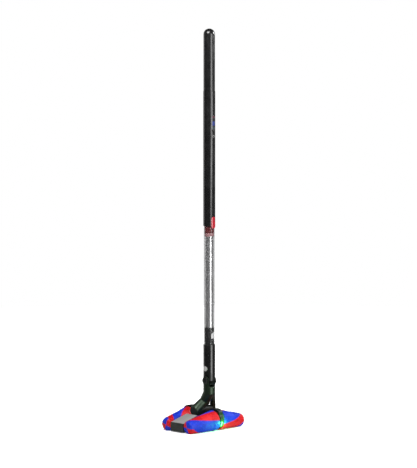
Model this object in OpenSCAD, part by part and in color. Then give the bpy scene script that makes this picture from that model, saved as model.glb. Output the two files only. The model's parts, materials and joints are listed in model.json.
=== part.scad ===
// Slim cordless stick vacuum cleaner with a four-cone soft roller head.
// +Z is up. The origin is on the floor under the middle of the head.
// +X runs along the head to the user's right. The user stands on the -Y side.

/* [Rollers] */
// Distance in X from the middle of the head to a roller's narrow end
tip_x = 107.5; // [96:0.5:130]
// Distance in Y from the middle of the head to the axis at the narrow end
tip_y = 43.7; // [42:0.1:56]
// Outer radius of the pile at the narrow end
tip_r = 17.5; // [15:0.1:18]
// Distance in X from the middle of the head to a roller's wide end
big_x = 7; // [6.5:0.1:12]
// Distance in Y from the middle of the head to the axis at the wide end
big_y = 50.7; // [50:0.1:62]
// Outer radius of the pile at the wide end
big_r = 30.5; // [26:0.1:31]
// Height of the resting pile above the floor
pile_lift = 0.2; // [0.1:0.1:1]
// Thickness of the plush sleeve
pile = 4.5; // [3:0.1:6]
// Wall of the roller core
core_wall = 1.8; // [1.2:0.1:2.5]
// Radius of the fixed boss that carries a roller
boss_r = 9; // [7:0.1:10]
// Outer radius of a roller's bushes
bush_r = 12; // [11:0.1:13]

/* [Head] */
// How far the spine reaches past the rollers' narrow ends
end_reach = 0.5; // [0:0.5:3]
// Height of the spine's top at its ends
end_h = 28; // [22:0.5:34]
// Height of the spine's top beside the neck
shoulder_h = 46; // [43:0.5:50]
// Distance in X from the middle to the shoulder
shoulder_x = 47; // [46:0.5:60]
// Thickness of the top covers
cover_t = 2.2; // [1.5:0.1:3]
// Thickness of the end caps
cap_t = 3; // [2:0.1:5]
// Wall of the spine
spine_wall = 2; // [1.5:0.1:3]
// Air gap between the pile and the spine
side_gap = 1; // [0.6:0.1:2]
// Height of the sole above the floor
sole_z = 2; // [1.5:0.1:4]
// Thickness of the sole plate
sole_t = 2; // [1.5:0.1:3]

/* [Roller drive] */
// Gear module
gear_m = 0.8; // [0.6:0.1:0.8]
// Teeth of a motor's pinion
pinion_teeth = 12; // [12:2:14]
// Teeth of an idler
idler_teeth = 30; // [28:2:30]
// Teeth of an axle's gear
axle_teeth = 33; // [31:2:33]
// Face width of the gears
gear_w = 2; // [1.6:0.1:2.4]
// Radius of an axle
axle_r = 3; // [2:0.1:3.4]
// Radius of an idler's pin
idler_pin_r = 2; // [1.5:0.1:2.5]
// Radius of a motor's shaft
motor_shaft_r = 1.2; // [1:0.1:1.5]
// Radius of a motor
motor_r = 8; // [6:0.1:8.4]
// Length of a motor
motor_len = 36; // [25:1:45]

/* [Neck] */
// Offset in Y of the tube's axis from the middle of the head
tube_y = -24.5; // [-30:0.5:-20]
// Radius of the tube
tube_r = 17.25; // [16.5:0.05:20]
// Wall of the tube's shells
tube_wall = 2; // [1.5:0.1:2.5]
// Height of the lower pivot
pivot_z = 56; // [54:0.5:60]
// Radius of the hollow spigot at the lower pivot
spigot_r = 10; // [8:0.1:11]
// Wall of the hollow spigot
spigot_wall = 1.6; // [1.2:0.1:2]
// Radius of the yoke's boss around the spigot
leg_r = 15; // [14:0.1:15.5]
// Radius of the thin arm's boss
arm_r = 8; // [7:0.1:9]
// Radius of the thin arm's pin
arm_pin_r = 4; // [3:0.1:5]
// Largest lean of the yoke towards the user
pitch_max = 38; // [20:1:40]
// Height of the upper pivot
tilt_z = 144; // [140:1:160]
// Half thickness of the neck between the yoke's ears
neck_half = 11.7; // [11:0.1:12]
// Radius of the yoke's ears
ear_r = 12; // [11:0.1:13]
// Radius of the neck's trunnions
trunnion_r = 6; // [4:0.1:7]
// Height of the swivel seam above the upper pivot
neck_len = 20; // [18:0.5:30]

/* [Collar and bin] */
// Height of the release button's centre above the swivel seam
button_rise = 15; // [12:0.5:30]
// Radius of the release button
button_r = 7.5; // [5:0.1:8]
// Height of the bin's lower end
bin_z = 248; // [240:1:300]
// Length of the clear bin
bin_len = 345; // [250:1:450]
// How far the clear bin is set in from the tube's surface
bin_step = 1.85; // [1.7:0.05:2.6]
// Wall of the clear bin
bin_wall = 1.4; // [1:0.1:1.8]
// Length of the inlet chute inside the bin
chute_len = 49; // [40:1:70]
// Radius of the dust shroud
shroud_r = 11.5; // [9:0.1:12]

/* [Handle] */
// Length of the handle shell
handle_len = 388; // [360:1:500]
// Length of the battery grip
grip_len = 179; // [150:1:240]
// How far the battery grip is set in from the tube's surface
grip_step = 0.75; // [0.1:0.05:1.4]
// Distance from the handle's upper end down to the power button's centre
power_drop = 129; // [120:1:180]
// Radius of the power button
power_r = 8.5; // [6:0.1:9]
// Distance from the handle's upper end down to the display's centre
display_drop = 90; // [60:1:95]
// Width of the display
display_w = 20; // [14:0.5:22]
// Length of the display
display_h = 40; // [30:1:44]
// Distance from the handle's upper end down to the charging contacts' centre
contact_drop = 207; // [190:1:230]
// Spacing of the charging contacts
contact_pitch = 14; // [10:1:20]
// Radius of a battery cell
cell_r = 10.6; // [9:0.1:12]
// Length of a battery cell
cell_len = 70; // [60:1:72]

/* [Fits] */
// Radial clearance of running fits
run_fit = 0.05; // [0.02:0.01:0.1]
// Clearance between parts that only pass each other
pass_gap = 0.4; // [0.3:0.05:0.8]
// Gap between parts fixed face to face
seat_gap = 0.02; // [0.01:0.01:0.05]

/* [Hidden] */
$fn = 72;

// A cone that lies on the floor: its axis slopes by the cone's own half angle.
plan_run = norm([tip_x - big_x, big_y - tip_y]);
taper = (big_r - tip_r) / plan_run;
slope = asin((sqrt(1 + 4 * taper * taper) - 1) / (2 * taper));
roller_len = plan_run / cos(slope);
big_z = pile_lift + big_r * cos(slope);
mesh_out = gear_m * (axle_teeth + idler_teeth) / 2;
mesh_in = gear_m * (pinion_teeth + idler_teeth) / 2;
idler_y = big_y - mesh_out;
pinion_y = idler_y - mesh_in;
case_gap = 2.5;
case_half = big_x - case_gap;
case_top = big_z + big_r + 3.5;
case_arch_r = big_r + 3;
gear_room = gear_m * (idler_teeth / 2 + 0.85) + pass_gap;
case_floor = big_z - gear_room - 1.37;
case_disc_r = big_r - 3.5;
boss_len = 35;
quill_r = axle_r - 0.5;
bush_len = 8;
bush_at = [4, 26];
pocket_z = pivot_z - leg_r - 1.5;
spine_x = tip_x + end_reach;
leg_out = 42;
leg_in = 20;
arm_in = 34;
arm_out = 43;
spine_half_tip = tip_y - tip_r - side_gap;
spine_half_mid = big_y - big_r - side_gap;
cover_drop = cover_t + seat_gap;
tube_in = tube_r - tube_wall;
bin_r = tube_r - bin_step;
grip_r = tube_r - grip_step;
swivel_z = tilt_z + neck_len;
button_z = swivel_z + button_rise;
bin_top = bin_z + bin_len;
handle_top = bin_top + handle_len;
total_h = handle_top + grip_len;
power_z = handle_top - power_drop;
display_z = handle_top - display_drop;
contact_z = handle_top - contact_drop;
leg_top = tilt_z - 40;
rim_z = tilt_z - 14.5;
rim_tilt = 17;
socket_gap = 0.4;
ear_gap = 0.4;
swivel_r = tube_r - 4.25;
swivel_len = 7;
ear_x = tube_r - 2.05;
button_back = tube_in - 1.95;
stem_len = 1.1;
riser_r = 9.5;
fan_hub_r = 11;
fan_ring_in = tube_in - 2.4;
shroud_z = bin_z + chute_len + 1;
catch_w = 15;
catch_h = 34;
catch_z = bin_top + 10;
catch_travel = 8;
proud = 1;
cap_proud = 0.4;

// Shapes used by several pieces
module ring(ro, ri, z0, z1) {
    difference() {
        translate([0, 0, z0]) cylinder(h = z1 - z0, r = ro);
        translate([0, 0, z0 - 1]) cylinder(h = z1 - z0 + 2, r = ri);
    }
}
module rod_x(r, x0, x1, y, z) {
    translate([x0, y, z]) rotate([0, 90, 0]) cylinder(h = x1 - x0, r = r);
}
module rod_y(r, y0, y1, x, z) {
    translate([x, y1, z]) rotate([90, 0, 0]) cylinder(h = y1 - y0, r = r);
}
module box(x0, x1, y0, y1, z0, z1) {
    translate([x0, y0, z0]) cube([x1 - x0, y1 - y0, z1 - z0]);
}
module on_tube() {
    translate([0, tube_y, 0]) children();
}
module on_roller(sx, sy) {
    turn = atan2(-sy * (big_y - tip_y), sx * (tip_x - big_x));
    translate([sx * big_x, sy * big_y, big_z]) rotate([0, 90 + slope, turn]) children();
}
function arc(cx, cy, r, a0, a1, n) = [for (i = [0:n]) let (a = a0 + (a1 - a0) * i / n)
    [cx + r * cos(a), cy + r * sin(a)]];

// Rollers
function pile_r(z) = big_r - (big_r - tip_r) * z / roller_len;
module sleeve(sx, sy) {
    big_edge = 3;
    tip_edge = 8;
    inner_tip = roller_len - pile;
    outline = concat(
        [[pile_r(0) - pile, 0]],
        arc(pile_r(0) - big_edge - 0.3, big_edge, big_edge, -90, 0, 6),
        arc(tip_r - tip_edge + 0.8, roller_len - tip_edge + 2, tip_edge, 0, 90, 8),
        [[0, roller_len + 2], [0, inner_tip], [pile_r(inner_tip) - pile, inner_tip]]);
    color(sx * sy > 0 ? "crimson" : "royalblue") on_roller(sx, sy) rotate_extrude() polygon(outline);
}
module core(sx, sy) {
    z0 = 1.5;
    z1 = roller_len - pile - seat_gap;
    skin = pile + seat_gap;
    hub_z = boss_len + 1.5;
    color("dimgray") on_roller(sx, sy) {
        difference() {
            rotate_extrude() polygon([[0, z0], [pile_r(z0) - skin, z0], [pile_r(z1) - skin, z1], [0, z1]]);
            rotate_extrude() polygon([[0, z0 - 1], [pile_r(z0 - 1) - skin - core_wall, z0 - 1],
                [pile_r(z1 - 3) - skin - core_wall, z1 - 3], [0, z1 - 3]]);
        }
        for (z = bush_at) ring(pile_r(z + bush_len) - skin - core_wall + 0.5, bush_r + seat_gap, z, z + bush_len);
        translate([0, 0, hub_z]) cylinder(h = 3, r = pile_r(hub_z) - skin - core_wall + 0.1);
        translate([0, 0, 0.8]) cylinder(h = hub_z, r = quill_r);
    }
}
module bushes(sx, sy) {
    color("goldenrod") on_roller(sx, sy)
        for (z = bush_at) ring(bush_r, boss_r + run_fit, z, z + bush_len);
}

// Gears turn about lines along X. With phase 0 a tooth points to +Y.
module gear(teeth, phase) {
    r_root = gear_m * (teeth / 2 - 1.25);
    r_tip = gear_m * (teeth / 2 + 0.85);
    pitch = 360 / teeth;
    outline = [for (i = [0:teeth - 1], k = [[-0.29, 0], [-0.13, 1], [0.13, 1], [0.29, 0]])
        let (a = 90 + phase + (i + k[0]) * pitch, r = k[1] == 1 ? r_tip : r_root) [r * cos(a), r * sin(a)]];
    rotate([0, 90, 0]) linear_extrude(gear_w, center = true) polygon(outline);
}
module pinion(sy) {
    color("gold") {
        translate([0, sy * pinion_y, big_z]) gear(pinion_teeth, 0);
        rod_x(motor_shaft_r, -gear_w / 2, case_front + 4, sy * pinion_y, big_z);
    }
}
module idler(sy) {
    color("ivory") difference() {
        translate([0, sy * idler_y, big_z]) gear(idler_teeth, 180 / idler_teeth);
        rod_x(idler_pin_r + run_fit, -gear_w, gear_w, sy * idler_y, big_z);
    }
}
module axle(sy) {
    color("silver") {
        translate([0, sy * big_y, big_z]) gear(axle_teeth, sy > 0 ? 180 / axle_teeth : 0);
        rod_x(axle_r, 0.5 - big_x, big_x - 0.5, sy * big_y, big_z);
    }
}
module motor(sy) {
    color("silver") difference() {
        union() {
            rod_x(motor_r, case_front + seat_gap, case_front + motor_len, sy * pinion_y, big_z);
            rod_x(3, case_front + motor_len, case_front + motor_len + 3, sy * pinion_y, big_z);
        }
        rod_x(motor_shaft_r + run_fit, case_front - 1, case_front + 6, sy * pinion_y, big_z);
    }
}

// The drive case is a wedge that fills the gap between the rollers' wide ends.
case_front = case_half + 4.5;
module case_outline() {
    for (sy = [-1, 1]) {
        translate([sy * big_y, big_z]) circle(r = case_disc_r);
        intersection() {
            translate([sy * big_y, big_z]) circle(r = case_arch_r);
            translate([sy * big_y - 22, big_z + 12]) square([44, 40]);
        }
        polygon([[sy * (spine_half_mid - 8), case_floor], [sy * big_y, case_floor],
            [sy * big_y, big_z + case_arch_r - 1], [sy * (spine_half_mid - 2), big_z + 21],
            [sy * (spine_half_mid - 8), pocket_z]]);
    }
    square_half = spine_half_mid - spine_wall - pass_gap;
    translate([-square_half, case_floor]) square([2 * square_half, pocket_z - case_floor]);
}
module case_wedge(side) {
    low = 6;
    high = case_top + 4;
    h0 = case_half + (low - big_z) * tan(slope);
    h1 = case_half + (high - big_z) * tan(slope);
    rotate([90, 0, 0]) linear_extrude(200, center = true)
        polygon([[0, low], [side * h0, low], [side * h1, high], [0, high]]);
}
module case_half_body(side) {
    intersection() {
        rotate([90, 0, 90]) linear_extrude(40, center = true) case_outline();
        case_wedge(side);
        box(-40, 40, -90, 90, 6, case_top + 4);
    }
    for (sy = [-1, 1]) on_roller(side, sy) translate([0, 0, -2.5]) cylinder(h = boss_len + 2.5, r = boss_r);
}
module case_cuts() {
    gap = gear_w / 2 + 0.2;
    room = 0.85 * gear_m + pass_gap;
    for (sy = [-1, 1]) {
        rod_x(gear_m * axle_teeth / 2 + room, -gap, gap, sy * big_y, big_z);
        rod_x(gear_m * pinion_teeth / 2 + room, -gap, gap, sy * pinion_y, big_z);
        rod_x(axle_r + run_fit, -big_x, big_x, sy * big_y, big_z);
        for (side = [-1, 1]) on_roller(side, sy) translate([0, 0, -2]) cylinder(h = boss_len + 4, r = axle_r + 1.2);
        rod_x(motor_shaft_r + 0.2, -gap - 0.5, case_front + 1, sy * pinion_y, big_z);
    }
}
module idler_room(pin) {
    gap = gear_w / 2 + 0.2;
    for (sy = [-1, 1]) difference() {
        rod_x(gear_room, -gap, gap, sy * idler_y, big_z);
        if (pin) rod_x(idler_pin_r, -2 * gap, 2 * gap, sy * idler_y, big_z);
    }
}
module window_seat(grow) {
    for (sy = [-1, 1]) intersection() {
        translate([0, sy * big_y, big_z]) rotate([0, 90, 0])
            cylinder(h = 2 * (2 + grow), r = case_disc_r + 0.3 + grow, center = true);
        translate([0, sy * (big_y + case_disc_r), big_z - 11]) cube([10, 10 + grow, 16 + 2 * grow], center = true);
    }
}
module left_drive_case() {
    color([0.13, 0.13, 0.14]) difference() {
        case_half_body(-1);
        case_cuts();
        idler_room(true);
        window_seat(seat_gap);
        rod_x(2, -60, 0, 0, pocket_z - 8);
    }
}
module right_drive_case() {
    color([0.13, 0.13, 0.14]) difference() {
        union() {
            case_half_body(1);
            box(0.5, case_front, 1 - spine_half_mid + spine_wall, spine_half_mid - spine_wall - 1,
                big_z - motor_r - 1, pocket_z - run_fit);
        }
        case_cuts();
        idler_room(false);
        for (sy = [-1, 1]) rod_x(idler_pin_r + 0.03, -3, 3, sy * idler_y, big_z);
        window_seat(seat_gap);
    }
}
module light_windows() {
    color("lime") window_seat(0);
}

// Spine
module spine_plan(inset) {
    polygon([for (p = [[-1, -1], [0, -1], [1, -1], [1, 1], [0, 1], [-1, 1]])
        [p[0] * (spine_x - cap_t), p[1] * ((p[0] == 0 ? spine_half_mid : spine_half_tip) - inset)]]);
}
function top_at(x) = shoulder_h + (end_h - shoulder_h) * (x - shoulder_x) / (spine_x - shoulder_x);
module spine_side(drop) {
    x1 = spine_x - cap_t;
    polygon([[-x1, sole_z], [x1, sole_z], [x1, top_at(x1) - drop], [shoulder_x, top_at(shoulder_x) - drop],
        [shoulder_x, pocket_z], [-shoulder_x, pocket_z], [-shoulder_x, top_at(shoulder_x) - drop],
        [-x1, top_at(x1) - drop]]);
}
module spine_block(inset, drop) {
    intersection() {
        linear_extrude(80) spine_plan(inset);
        rotate([90, 0, 0]) linear_extrude(80, center = true) spine_side(drop);
    }
}
// Slots in the floor of the spine, one under each half
slot_x0 = 24;
slot_x1 = spine_x - 16;
slot_half = 8;
board_x = spine_x - cap_t - 9;
module spine_shell() {
    wall_top = cover_drop + spine_wall;
    color([0.2, 0.21, 0.2]) difference() {
        spine_block(0, cover_drop);
        intersection() {
            spine_block(spine_wall, wall_top);
            union() {
                box(-board_x, -case_half - 6, -40, 40, sole_z - 1, pocket_z - spine_wall);
                box(case_half + 6, board_x, -40, 40, sole_z - 1, pocket_z - spine_wall);
                box(-20, 20, -10, 10, sole_z - 1, sole_z + 11);
            }
        }
        linear_extrude(sole_t + sole_z) spine_plan(spine_wall);
        screw_shanks(1.2 + seat_gap);
        box(-case_half - 4.6, case_front + 0.3, -40, 40, case_floor - pass_gap, 80);
        drop_duct(pocket_z - 10);
        for (sy = [-1, 1]) box(case_half + 3, case_front + motor_len + 4, sy > 0 ? 0 : 1 - spine_half_mid,
            sy > 0 ? spine_half_mid - 1 : 0, big_z - motor_r - 0.5, big_z + motor_r + 0.5);
    }
}
module sole_plate() {
    color([0.16, 0.17, 0.17]) difference() {
        translate([0, 0, sole_z]) linear_extrude(sole_t - seat_gap) spine_plan(spine_wall + 0.1);
        for (s = [-1, 1]) box(s > 0 ? slot_x0 : -slot_x1, s > 0 ? slot_x1 : -slot_x0,
            -slot_half, slot_half, 0, 9);
    }
}
module top_cover(side) {
    color([0.62, 0.62, 0.61]) intersection() {
        difference() {
            spine_block(0.4, 0);
            translate([0, 0, -seat_gap]) spine_block(-5, cover_t);
        }
        box(side > 0 ? shoulder_x : -spine_x, side > 0 ? spine_x : -shoulder_x, -40, 40, 0, 80);
    }
}
module end_cap(side) {
    x0 = spine_x - cap_t + seat_gap;
    half = spine_half_tip;
    color([0.25, 0.26, 0.25]) intersection() {
        rotate([90, 0, 90]) translate([0, 0, side > 0 ? x0 : -spine_x])
            linear_extrude(cap_t - seat_gap) polygon([[-half, sole_z], [half, sole_z], [half, end_h - 1.5],
                [half - 1.5, end_h], [1.5 - half, end_h], [-half, end_h - 1.5]]);
        box(-200, 200, -60, 60, 0, 60);
    }
}
module glide_pads() {
    color("white") for (s = [-1, 1], t = [-1, 1]) {
        translate([s * (slot_x1 + 4), t * 12, 0]) cylinder(h = sole_z, r = 4);
        box(s > 0 ? slot_x1 - 42 : 12 - slot_x1, s > 0 ? slot_x1 - 12 : 42 - slot_x1,
            t * 14.5 - 2, t * 14.5 + 2, 0, sole_z - seat_gap);
    }
}
module head_board() {
    color("darkgreen") {
        box(board_x - 40, board_x, -14, 14, 15, 16.6);
        box(board_x - 36, board_x - 24, -8, 4, 16.6, 19.5);
    }
}
module screw_shanks(r) {
    for (s = [-1, 1], t = [-1, 1])
        translate([s * (spine_x - cap_t - 5), t * 15, sole_z + sole_t + 0.1]) cylinder(h = 9, r = r);
}
module head_screws() {
    color("silver") screw_shanks(1.2);
}

// Lower pivot
bracket_r = spigot_r + 0.5;
bracket_gap = 0.6;
// The duct drops from the spigot into the left half of the spine.
duct_x0 = 2.8 - leg_in;
duct_x1 = duct_x0 + 6.6;
duct_half = 6;
module drop_duct(z0) {
    box(duct_x0, duct_x1, -duct_half, duct_half, z0, pivot_z);
}
module pivot_bracket() {
    x0 = duct_x0 - 1.6;
    x1 = arm_in - 3;
    half = duct_half + 1.6;
    color([0.15, 0.15, 0.15]) difference() {
        union() {
            rod_x(bracket_r, x0, x1, 0, pivot_z);
            box(x0, x1, -half, half, pocket_z + seat_gap, pivot_z);
        }
        drop_duct(pocket_z - 1);
        rod_x(spigot_r + seat_gap, x0 - 1, 0, 0, pivot_z);
        rod_x(arm_pin_r + seat_gap, x1 - 12, x1 + 1, 0, pivot_z);
    }
}
module suction_elbow() {
    x0 = 4 - leg_out;
    color([0.3, 0.3, 0.3]) difference() {
        rod_x(spigot_r, x0, -0.5, 0, pivot_z);
        rod_x(spigot_r - spigot_wall, x0 - 1, duct_x1 + 2, 0, pivot_z);
        drop_duct(pocket_z);
    }
}
module pivot_pin() {
    color("silver") rod_x(arm_pin_r, arm_in - 14, arm_out - 1, 0, pivot_z);
}

// Yoke: a thick hollow leg on the left and a thin arm on the right
mid = [-4, -6, pivot_z + 25];
crook = [6, -11, leg_top - 13];
elbow = [arm_in - 5, -10, pivot_z + 28];
mid_bore = spigot_r - 0.5;
// A web fills the fork above the bracket, up to a narrow gap beside the thin arm.
web_t = 13;
web_x = 15;
web_z = pivot_z + bracket_r + bracket_gap + 0.9;
top_bore = tube_r - 6.25;
module leg_shape(r_boss, r_mid, r_top, x0, x1, z_top) {
    rod_x(r_boss, x0 + 3, x1, 0, pivot_z);
    hull() {
        rod_x(r_boss - 3, x0, x0 + 6, 0, pivot_z);
        rod_x(r_boss, x0 + 3, x0 + 12, 0, pivot_z);
        translate(mid) sphere(r = r_mid, $fn = 32);
    }
    hull() {
        translate(mid) sphere(r = r_mid, $fn = 32);
        translate(crook) sphere(r = r_mid - 2, $fn = 32);
        translate([0, tube_y, z_top]) cylinder(h = 6, r = r_top, $fn = 48);
    }
}
module ear_space(half) {
    box(-half, half, tube_y - 30, tube_y + 30, leg_top + 10, tilt_z + 30);
}
// The ears stand up past the yoke's slanted rim.
module ear_blank() {
    difference() {
        union() {
            rod_x(ear_r, -40, 40, tube_y, tilt_z);
            box(-40, 40, tube_y - ear_r, tube_y + ear_r, leg_top, tilt_z);
        }
        ear_space(neck_half + ear_gap);
    }
}
module yoke() {
    duct = spigot_r - spigot_wall;
    color([0.17, 0.19, 0.17]) difference() {
        union() {
            leg_shape(leg_r, leg_r - 2, tube_r, -leg_out, -leg_in, leg_top);
            hull() {
                rod_x(web_t / 2, mid[0], web_x, -5, web_z + web_t / 2);
                rod_x(web_t / 2, crook[0] - 6, web_x, -13, leg_top - 6);
            }
            hull() {
                rod_x(arm_r, arm_in, arm_out, 0, pivot_z);
                translate(elbow) sphere(r = arm_r - 0.5, $fn = 32);
            }
            hull() {
                translate(elbow) sphere(r = arm_r - 0.5, $fn = 32);
                translate([0, tube_y, leg_top]) cylinder(h = 6, r = tube_r, $fn = 48);
            }
            on_tube() translate([0, 0, leg_top]) cylinder(h = rim_z + 6 - leg_top, r = tube_r);
            intersection() {
                on_tube() translate([0, 0, leg_top]) cylinder(h = 80, r = tube_r);
                ear_blank();
            }
        }
        leg_bore(duct);
        rod_x(spigot_r + run_fit, 2 - leg_out, 1 - leg_in, 0, pivot_z);
        rod_x(arm_pin_r + run_fit, arm_in - 1, arm_out - 0.5, 0, pivot_z);
        rod_x(bracket_r + bracket_gap, 1 - leg_in, arm_in - 1, 0, pivot_z);
        translate([0, 0, pivot_z]) rotate([-pitch_max, 0, 0]) translate([0, -big_y, big_z - pivot_z])
            rotate([0, 90, 0]) cylinder(h = 30, r = case_arch_r + 1, center = true);
        intersection() {
            rod_x(tube_r + socket_gap, -40, 40, tube_y, tilt_z);
            ear_space(neck_half + ear_gap);
        }
        difference() {
            translate([0, tube_y, rim_z]) rotate([rim_tilt, 0, 0]) translate([-40, -40, 0]) cube([80, 80, 60]);
            ear_blank();
        }
        rod_x(trunnion_r + run_fit, -tube_r, tube_r, tube_y, tilt_z);
        for (s = [-1, 1]) rod_x(ear_r - 0.8, s > 0 ? ear_x : -30, s > 0 ? 30 : -ear_x, tube_y, tilt_z);
    }
}
module leg_bore(duct) {
    hull() {
        rod_x(duct, -34, -26, 0, pivot_z);
        translate(mid) sphere(r = mid_bore, $fn = 24);
    }
    hull() {
        translate(mid) sphere(r = mid_bore, $fn = 24);
        translate([0, tube_y, leg_top + 2]) cylinder(h = 3, r = top_bore, $fn = 32);
    }
    on_tube() translate([0, 0, leg_top + 4]) cylinder(h = 30, r = top_bore);
}
module yoke_caps() {
    color([0.1, 0.1, 0.1]) for (s = [-1, 1]) difference() {
        rod_x(ear_r - 1, s > 0 ? ear_x + seat_gap : -tube_r - cap_proud, s > 0 ? tube_r + cap_proud : -ear_x - seat_gap,
            tube_y, tilt_z);
        rod_x(ear_r - 3.5, s > 0 ? tube_r - 0.4 : -tube_r - 2, s > 0 ? tube_r + 2 : 0.4 - tube_r,
            tube_y, tilt_z);
    }
}
module neck() {
    shoulder = tilt_z + ear_r + 1;
    color([0.12, 0.12, 0.12]) difference() {
        union() {
            intersection() {
                on_tube() translate([0, 0, tilt_z]) cylinder(h = swivel_z - tilt_z, r = tube_r);
                union() {
                    ear_space(neck_half);
                    box(-30, 30, tube_y - 30, tube_y + 30, shoulder, swivel_z + 1);
                }
            }
            intersection() {
                rod_x(tube_r, -neck_half, neck_half, tube_y, tilt_z);
                box(-30, 30, tube_y - 30, tube_y + 30, tilt_z - 40, tilt_z + 0.1);
            }
            rod_x(trunnion_r, 0.2 - ear_x, ear_x - 0.2, tube_y, tilt_z);
        }
        on_tube() {
            translate([0, 0, tilt_z - 40]) cylinder(h = 100, r = 9);
            translate([0, 0, swivel_z - swivel_len]) cylinder(h = 50, r = swivel_r + run_fit);
        }
    }
}

// Collar
module collar() {
    seam = swivel_z + 0.3;
    color([0.09, 0.09, 0.09]) difference() {
        union() {
            on_tube() ring(tube_r, tube_in, seam, bin_z - seat_gap);
            on_tube() ring(tube_r - 0.5, 10, seam, seam + 3);
            on_tube() ring(swivel_r, 10, swivel_z - swivel_len + 0.3, seam + 1);
        }
        rod_x(button_r + run_fit, -30, -10, tube_y, button_z);
    }
}
module collar_duct() {
    color("gray") on_tube() difference() {
        union() {
            ring(riser_r, 8, swivel_z + 3.4, bin_z - 5);
            ring(tube_in - seat_gap, 8, bin_z - 8, bin_z - 5);
        }
        translate([0.7 - riser_r, 0, button_z]) rotate([0, -90, 0]) cylinder(h = 5.2, r = 4);
    }
}
module release_button() {
    color([0.75, 0.75, 0.74]) intersection() {
        union() {
            rod_x(button_r, -tube_r - 0.6, -button_back, tube_y, button_z);
            rod_x(3, -button_back - 0.1, stem_len - button_back, tube_y, button_z);
        }
        on_tube() cylinder(h = 400, r = tube_r + 0.6);
    }
}
module release_spring() {
    wire = 0.6;
    pitch = (button_back - riser_r - 1 - wire) / 2;
    color("silver") for (i = [0:2]) translate([i * pitch, 0, 0]) difference() {
        rod_x(5, 0.2 - button_back, 0.2 + wire - button_back, tube_y, button_z);
        rod_x(4, -tube_r, 0, tube_y, button_z);
    }
}

// Bin
bin_in = bin_r - bin_wall;
module bin_tube() {
    color([0.8, 0.85, 0.88, 0.35]) on_tube() ring(bin_r, bin_in, bin_z, bin_top - 0.3);
}
module inlet_chute() {
    r_out = bin_in - 0.15;
    flange_z = bin_z - 5 + seat_gap;
    color([0.08, 0.08, 0.08]) on_tube() difference() {
        union() {
            translate([0, 0, bin_z - 1]) cylinder(h = chute_len + 1, r = r_out);
            translate([0, 0, flange_z]) cylinder(h = bin_z - seat_gap - flange_z, r = tube_in - seat_gap);
        }
        translate([0, 0, flange_z - 1]) cylinder(h = chute_len + 12, r = chute_seat);
        translate([0, 0, bin_z + 4.9]) cylinder(h = chute_len, r = chute_bore);
        rotate([0, 0, -45]) {
            translate([6.2, -20, bin_z + 16]) cube([20, 40, 14]);
            translate([6.2, 0, bin_z + 30]) rotate([90, 0, 0]) linear_extrude(40, center = true)
                polygon([[0, -0.1], [9, -0.1], [9, 11]]);
        }
        rod_y(flap_pin_r + run_fit, -6.5, 6.5, -8, bin_z + 6);
    }
}
flap_pin_r = 1;
chute_bore = 10;
chute_seat = 8;
module inlet_flap() {
    color("tomato") on_tube() {
        intersection() {
            translate([0, 0, bin_z + 5.2]) cylinder(h = 1.6, r = chute_bore - 1);
            box(-8, 12, -12, 12, bin_z, bin_z + 20);
        }
        rod_y(flap_pin_r, -6.2, 6.2, -8, bin_z + 6);
    }
}
module wiper_ring() {
    color("darkred") on_tube() ring(bin_in - 0.1, shroud_r + 0.2, bin_top - 21, bin_top - 1);
}
module wiper_lip() {
    color("lightpink") on_tube() ring(bin_in - 0.1, shroud_r + 0.1, bin_top - 30, bin_top - 21 - seat_gap);
}
module shroud() {
    color("gray") on_tube() {
        difference() {
            union() {
                translate([0, 0, shroud_z]) cylinder(h = bin_top + 6 - shroud_z, r = shroud_r);
                translate([0, 0, bin_top + 0.3]) cylinder(h = 5.7, r = tube_in - seat_gap);
            }
            translate([0, 0, shroud_z + 1]) cylinder(h = bin_top + 10 - shroud_z, r = shroud_r - 1);
        }
    }
}
module pill(w, h, y0, y1, z) {
    for (s = [-1, 1]) rod_y(w / 2, y0, y1, 0, z + s * (h - w) / 2);
    box(-w / 2, w / 2, y0, y1, z - (h - w) / 2, z + (h - w) / 2);
}
catch_in = tube_in + 0.6;
module bin_catch() {
    color("red") on_tube() intersection() {
        pill(catch_w, catch_h, -tube_r - 3, -catch_in, catch_z);
        cylinder(h = 2000, r = tube_r + 1.4);
    }
}

// Handle
module handle_shell() {
    z0 = bin_top;
    color([0.1, 0.1, 0.1]) on_tube() difference() {
        ring(tube_r, tube_in, z0, handle_top - seat_gap);
        translate([0, 0, -catch_travel / 2]) pill(catch_w + 0.6, catch_h + catch_travel + 0.6,
            -tube_r - 5, -catch_in + 0.2, catch_z);
        rod_y(power_r + run_fit, -30, 0, 0, power_z);
        pill_flat(display_w + 2 * seat_gap, display_h + 2 * seat_gap, -30, 1.2 - tube_r, display_z);
        for (s = [-1, 1]) rod_x(contact_r, -30, -5, 0, contact_z + s * contact_pitch / 2);
    }
}
contact_r = 3.2;
module pill_flat(w, h, y0, y1, z) {
    edge = 3;
    for (s = [-1, 1], t = [-1, 1]) rod_y(edge, y0, y1, s * (w / 2 - edge), z + t * (h / 2 - edge));
    box(-w / 2, w / 2, y0, y1, z - h / 2 + edge, z + h / 2 - edge);
    box(-w / 2 + edge, w / 2 - edge, y0, y1, z - h / 2, z + h / 2);
}
module display() {
    color([0.05, 0.05, 0.08]) on_tube() intersection() {
        pill_flat(display_w, display_h, -30, 1.2 - seat_gap - tube_r, display_z);
        cylinder(h = 2000, r = tube_r + 0.8);
    }
}
module power_button() {
    color([0.07, 0.07, 0.07]) on_tube() intersection() {
        rod_y(power_r, -30, 1.75 - tube_in, 0, power_z);
        cylinder(h = 2000, r = tube_r + proud);
    }
}
module charge_contacts() {
    color("gold") on_tube() for (s = [-1, 1])
        rod_x(contact_r - seat_gap, -tube_r - 0.1, 1.5 - tube_r, 0, contact_z + s * contact_pitch / 2);
}
module dust_filter() {
    color("lavender") on_tube() ring(tube_in - 0.8, 7, bin_top + 30, bin_top + 68);
}
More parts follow.
